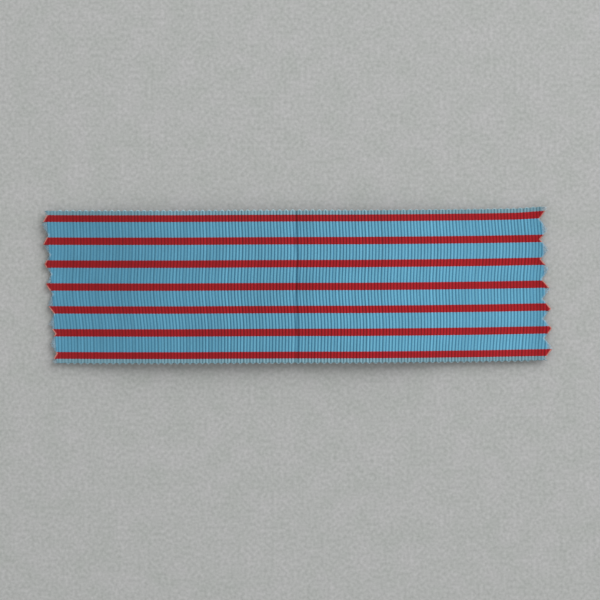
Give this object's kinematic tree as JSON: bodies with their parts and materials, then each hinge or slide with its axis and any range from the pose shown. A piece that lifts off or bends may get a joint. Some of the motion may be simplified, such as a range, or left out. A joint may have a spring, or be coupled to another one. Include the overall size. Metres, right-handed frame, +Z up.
{
  "type": "medal ribbon",
  "caption": "Flat length of ribbed woven medal ribbon, light blue with evenly spaced red stripes, pinked ends and a pressed crease across its middle where it folds.",
  "frame": {"origin": "on the surface that the ribbon lies on, under the middle of its bounding box", "axes": "+X along the ribbon and its stripes, +Y across it, +Z up out of its face"},
  "size_m": [0.123, 0.037, 0.0028],
  "materials": {
    "red_warp": "ribbed weave, satin yarn, crimson red",
    "blue_warp": "ribbed weave, satin yarn, light blue",
    "selvedge_warp": "ribbed weave, satin yarn, light blue, paler at its edge",
    "weft": "matt pale blue-grey yarn"
  },
  "bodies": {
    "left_half": {"left_upper_selvedge": "selvedge_warp", "left_red_stripe_1": "red_warp", "left_blue_band_1": "blue_warp", "left_red_stripe_2": "red_warp", "left_blue_band_2": "blue_warp", "left_red_stripe_3": "red_warp", "left_blue_band_3": "blue_warp", "left_red_stripe_4": "red_warp", "left_blue_band_4": "blue_warp", "left_red_stripe_5": "red_warp", "left_blue_band_5": "blue_warp", "left_red_stripe_6": "red_warp", "left_blue_band_6": "blue_warp", "left_red_stripe_7": "red_warp", "left_lower_selvedge": "selvedge_warp", "left_weft": "weft"},
    "right_half": {"right_upper_selvedge": "selvedge_warp", "right_red_stripe_1": "red_warp", "right_blue_band_1": "blue_warp", "right_red_stripe_2": "red_warp", "right_blue_band_2": "blue_warp", "right_red_stripe_3": "red_warp", "right_blue_band_3": "blue_warp", "right_red_stripe_4": "red_warp", "right_blue_band_4": "blue_warp", "right_red_stripe_5": "red_warp", "right_blue_band_5": "blue_warp", "right_red_stripe_6": "red_warp", "right_blue_band_6": "blue_warp", "right_red_stripe_7": "red_warp", "right_lower_selvedge": "selvedge_warp", "right_weft": "weft"}
  },
  "joints": [
    {"name": "crease_fold", "type": "hinge", "parent": "left_half", "child": "right_half", "pos_m": [-0.00024, 0, 0.00246], "axis": [0, -1, 0], "range_deg": [0, 170]}
  ]
}
